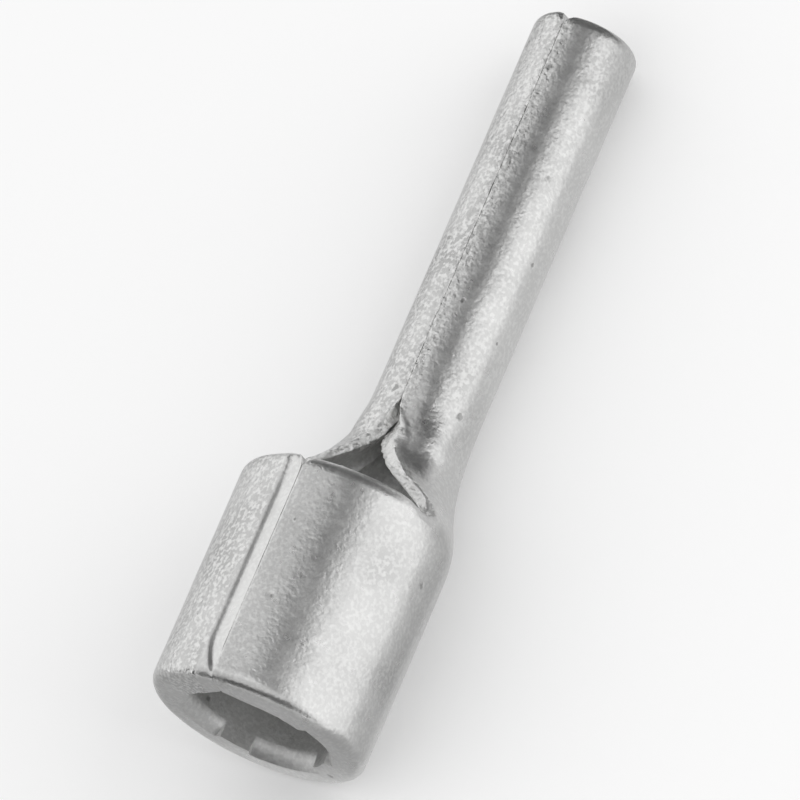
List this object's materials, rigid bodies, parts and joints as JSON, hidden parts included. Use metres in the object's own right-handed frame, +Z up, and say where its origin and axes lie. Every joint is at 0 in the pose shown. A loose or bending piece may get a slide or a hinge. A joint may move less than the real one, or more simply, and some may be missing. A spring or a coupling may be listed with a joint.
{
  "type": "crimp pin terminal",
  "caption": "Bare crimp pin terminal rolled from one tinned copper sheet: an open wire barrel with a butted seam, a necked-in throat with folded cut edges, and a hollow round pin.",
  "frame": {"origin": "centre of the bounding box's bottom face, on the straight line that the barrel and the pin rest on", "axes": "+X from the wire barrel's mouth towards the pin's tip, +Z up through the seam"},
  "size_m": [0.0208, 0.0056, 0.0057],
  "materials": {
    "tin": "satin tin plate on copper"
  },
  "bodies": {
    "root": {"terminal": "tin"}
  },
  "joints": []
}
